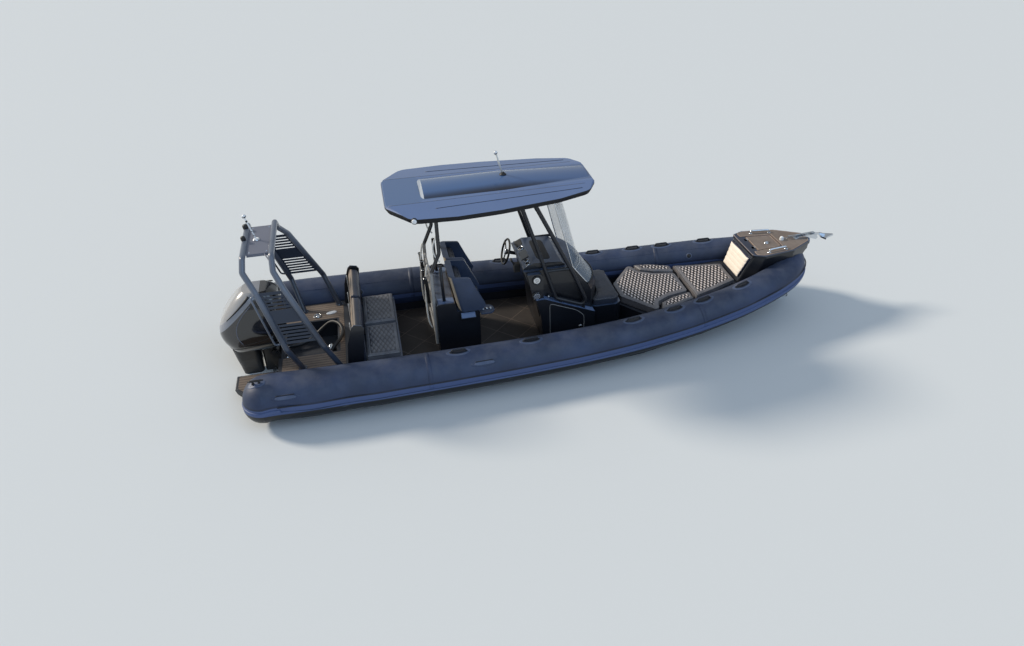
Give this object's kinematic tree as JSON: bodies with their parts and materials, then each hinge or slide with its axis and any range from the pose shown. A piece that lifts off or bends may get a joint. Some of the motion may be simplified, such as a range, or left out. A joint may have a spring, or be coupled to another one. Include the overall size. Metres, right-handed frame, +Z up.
{
  "type": "rigid inflatable boat",
  "caption": "Rigid inflatable boat with a T-top console, leaning post, stern arch, bow locker and a tilting, steering outboard engine.",
  "frame": {"origin": "on the waterline at rest, on the centreline, amidships between the ends of the tube", "axes": "+X to the bow, +Y to port, +Z up"},
  "size_m": [8.48, 2.9087, 3.524],
  "materials": {
    "tube_fabric": "matt coated boat fabric",
    "strake_rubber": "moulded rubber",
    "handle_rubber": "moulded rubber",
    "hull_paint": "satin paint",
    "deck_foam": "ribbed deck foam",
    "moulding": "satin moulding",
    "upholstery": "quilted vinyl",
    "frame_paint": "black powder coat",
    "plate_grey": "grey powder coat",
    "roof_paint": "satin paint",
    "clear_glass": "clear, lightly tinted",
    "wheel_rubber": "soft grip",
    "black_plastic": "matt",
    "bright_metal": "polished stainless steel",
    "lamp_plastic": "white lamp housing",
    "engine_paint": "satin black",
    "cowl_gloss": "gloss black"
  },
  "bodies": {
    "boat": {"anchor": "bright_metal", "arch_grab_rails": "frame_paint", "arch_hoop_aft": "frame_paint", "arch_hoop_fwd": "frame_paint", "arch_side_plates": "frame_paint", "arch_top_plate": "plate_grey", "bench_backrests": "upholstery", "bench_end_panels": "moulding", "bench_hinges": "bright_metal", "bench_locker": "moulding", "bow_cleats": "bright_metal", "bow_deck": "moulding", "bow_eye": "bright_metal", "bow_locker": "moulding", "bow_pad": "upholstery", "bow_roller": "bright_metal", "clamp_bracket": "engine_paint", "collar_aft": "tube_fabric", "collar_bow": "tube_fabric", "collar_side": "tube_fabric", "console": "moulding", "console_speakers": "bright_metal", "front_seat_base": "moulding", "front_seat_cushion": "upholstery", "hatch_hinges": "bright_metal", "hose_glands": "black_plastic", "hull": "hull_paint", "leaning_post": "moulding", "lounge_pad_aft": "upholstery", "lounge_pad_bow": "upholstery", "lounge_pads_side": "upholstery", "nav_lamp": "lamp_plastic", "rear_frame": "frame_paint", "rigging_hose": "strake_rubber", "roof": "roof_paint", "roof_aerial": "bright_metal", "rubbing_strake": "strake_rubber", "seat_backs": "upholstery", "seat_pads": "upholstery", "seat_shells": "moulding", "sole_panel": "deck_foam", "steering_column": "black_plastic", "stern_eyes": "bright_metal", "stern_light_mast": "black_plastic", "swim_platforms": "hull_paint", "throttle": "black_plastic", "ttop_frame": "frame_paint", "tube_handles": "handle_rubber", "windscreen": "clear_glass"},
    "engine_tilt": {"swivel_bracket": "engine_paint"},
    "engine_steer": {"engine_cowl": "cowl_gloss", "engine_leg": "engine_paint", "gearcase": "engine_paint"},
    "propeller": {"propeller": "bright_metal"},
    "helm_wheel": {"steering_wheel": "wheel_rubber"},
    "bench_lid": {"bench_lid": "moulding", "bench_cushions": "upholstery"},
    "bow_hatch": {"bow_hatch": "deck_foam"}
  },
  "joints": [
    {"name": "engine_tilt", "type": "hinge", "parent": "boat", "child": "engine_tilt", "pos_m": [-3.508, 0, 0.306], "axis": [0, 1, 0], "range_deg": [-4, 62]},
    {"name": "engine_steer", "type": "hinge", "parent": "engine_tilt", "child": "engine_steer", "pos_m": [-3.65, 0, 0.2], "axis": [0, 0, 1], "range_deg": [-30, 30]},
    {"name": "propeller_spin", "type": "hinge", "parent": "engine_steer", "child": "propeller", "pos_m": [-4.055, 0, -0.588], "axis": [1, 0, 0], "continuous": true},
    {"name": "wheel_turn", "type": "hinge", "parent": "boat", "child": "helm_wheel", "pos_m": [-0.352, 0.275, 1.15], "axis": [-0.9508, 0, 0.3099], "range_deg": [-720, 720]},
    {"name": "bench_lid_hinge", "type": "hinge", "parent": "boat", "child": "bench_lid", "pos_m": [-1.914, 0, 0.3649], "axis": [0, 1, 0], "range_deg": [0, 85]},
    {"name": "bow_hatch_hinge", "type": "hinge", "parent": "boat", "child": "bow_hatch", "pos_m": [3.057, 0, 0.9454], "axis": [0, -1, 0], "range_deg": [0, 95]}
  ],
  "couplings": [
    {"joint": "wheel_turn", "follows": "engine_steer", "ratio": -24}
  ]
}
